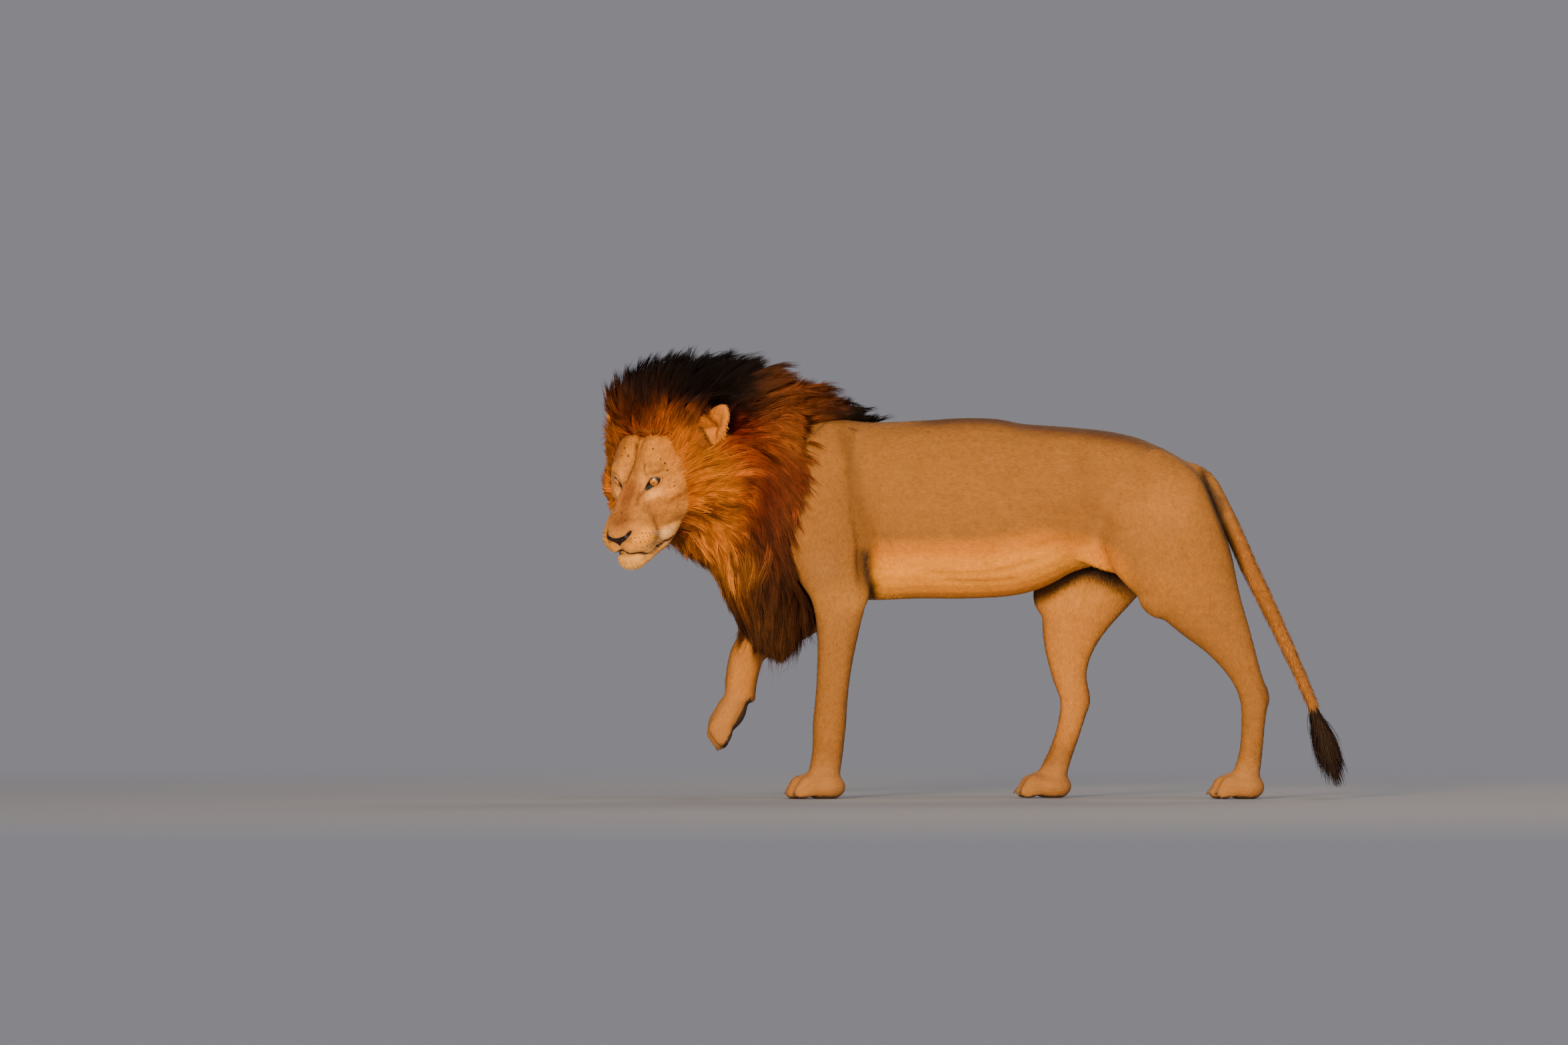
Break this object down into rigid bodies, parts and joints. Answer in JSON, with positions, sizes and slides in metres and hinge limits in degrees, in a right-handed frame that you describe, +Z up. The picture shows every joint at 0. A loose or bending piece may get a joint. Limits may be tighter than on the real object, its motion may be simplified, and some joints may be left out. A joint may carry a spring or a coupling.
{
  "type": "lion",
  "caption": "Life-size adult male lion in mid-stride, one forepaw lifted and head turned to its left, as a still museum model.",
  "frame": {"origin": "on the floor, under the middle of the bounding box", "axes": "+Z up; the lion walks towards -X, so +X runs from head to tail and -Y is its left side"},
  "size_m": [2.0612, 0.5434, 1.2237],
  "materials": {
    "coat": "short tawny fur",
    "face": "very short fur",
    "golden_mane": "long golden hair",
    "russet_mane": "long russet hair",
    "dark_mane": "long black-brown hair",
    "nose_leather": "moist dark skin",
    "eye": "wet amber eye"
  },
  "bodies": {
    "root": {"trunk": "coat", "neck": "russet_mane", "head": "face", "nose": "nose_leather", "ear_left": "coat", "ear_right": "coat", "eye_left": "eye", "eye_right": "eye", "forepaw_left": "coat", "hindpaw_left": "coat", "hindpaw_right": "coat", "forepaw_right": "coat", "foreleg_left": "coat", "foreleg_right": "coat", "hindleg_left": "coat", "hindleg_right": "coat", "tail_tuft": "dark_mane", "tail": "coat", "mane_crest": "dark_mane", "mane_chest": "dark_mane", "mane_ruff": "golden_mane"}
  },
  "joints": []
}
